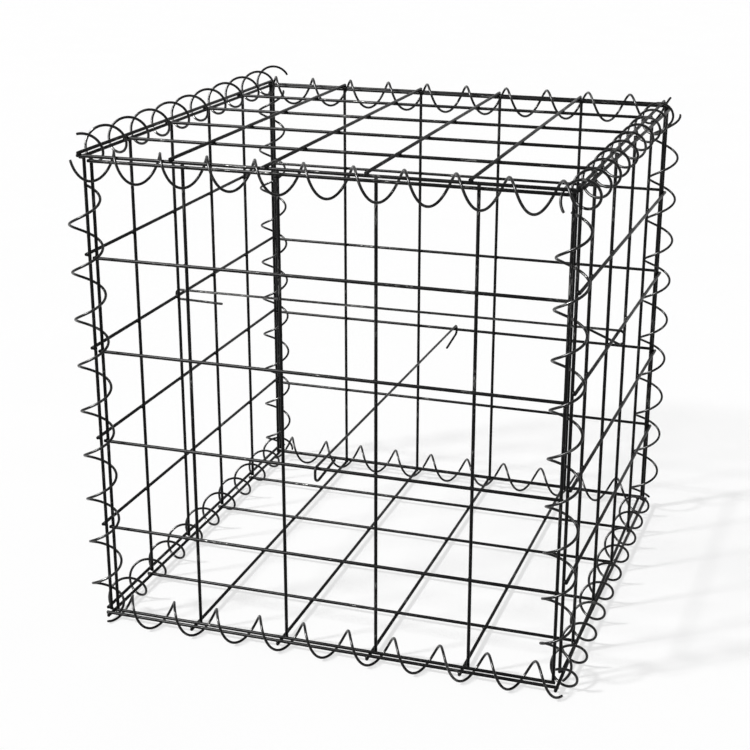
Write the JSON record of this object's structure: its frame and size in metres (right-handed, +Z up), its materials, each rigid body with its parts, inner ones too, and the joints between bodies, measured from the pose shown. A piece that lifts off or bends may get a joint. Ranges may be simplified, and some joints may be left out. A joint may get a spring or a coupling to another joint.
{
  "type": "gabion basket",
  "caption": "Cube-shaped welded wire mesh gabion basket with a closed lid, coiled wire binders along its edges and hooked tie wires across the inside.",
  "frame": {"origin": "middle of the basket's outer box, on the floor that the four bottom coils stand on", "axes": "+X along the front panel to the right, +Y from the front panel to the back panel, +Z up to the lid"},
  "size_m": [0.5424, 0.5303, 0.541],
  "materials": {
    "mesh_wire": "satin black coating",
    "coil_wire": "glossy black coating",
    "tie_wire": "satin black coating"
  },
  "bodies": {
    "root": {"front_panel": "mesh_wire", "back_panel": "mesh_wire", "left_panel": "mesh_wire", "right_panel": "mesh_wire", "lid_panel": "mesh_wire", "base_panel": "mesh_wire", "top_front_coil": "coil_wire", "top_back_coil": "coil_wire", "top_left_coil": "coil_wire", "top_right_coil": "coil_wire", "bottom_front_coil": "coil_wire", "bottom_back_coil": "coil_wire", "bottom_left_coil": "coil_wire", "bottom_right_coil": "coil_wire", "left_front_coil": "coil_wire", "right_front_coil": "coil_wire", "right_back_coil": "coil_wire", "left_back_coil": "coil_wire", "front_to_back_tie": "tie_wire", "left_to_right_tie": "tie_wire"}
  },
  "joints": []
}
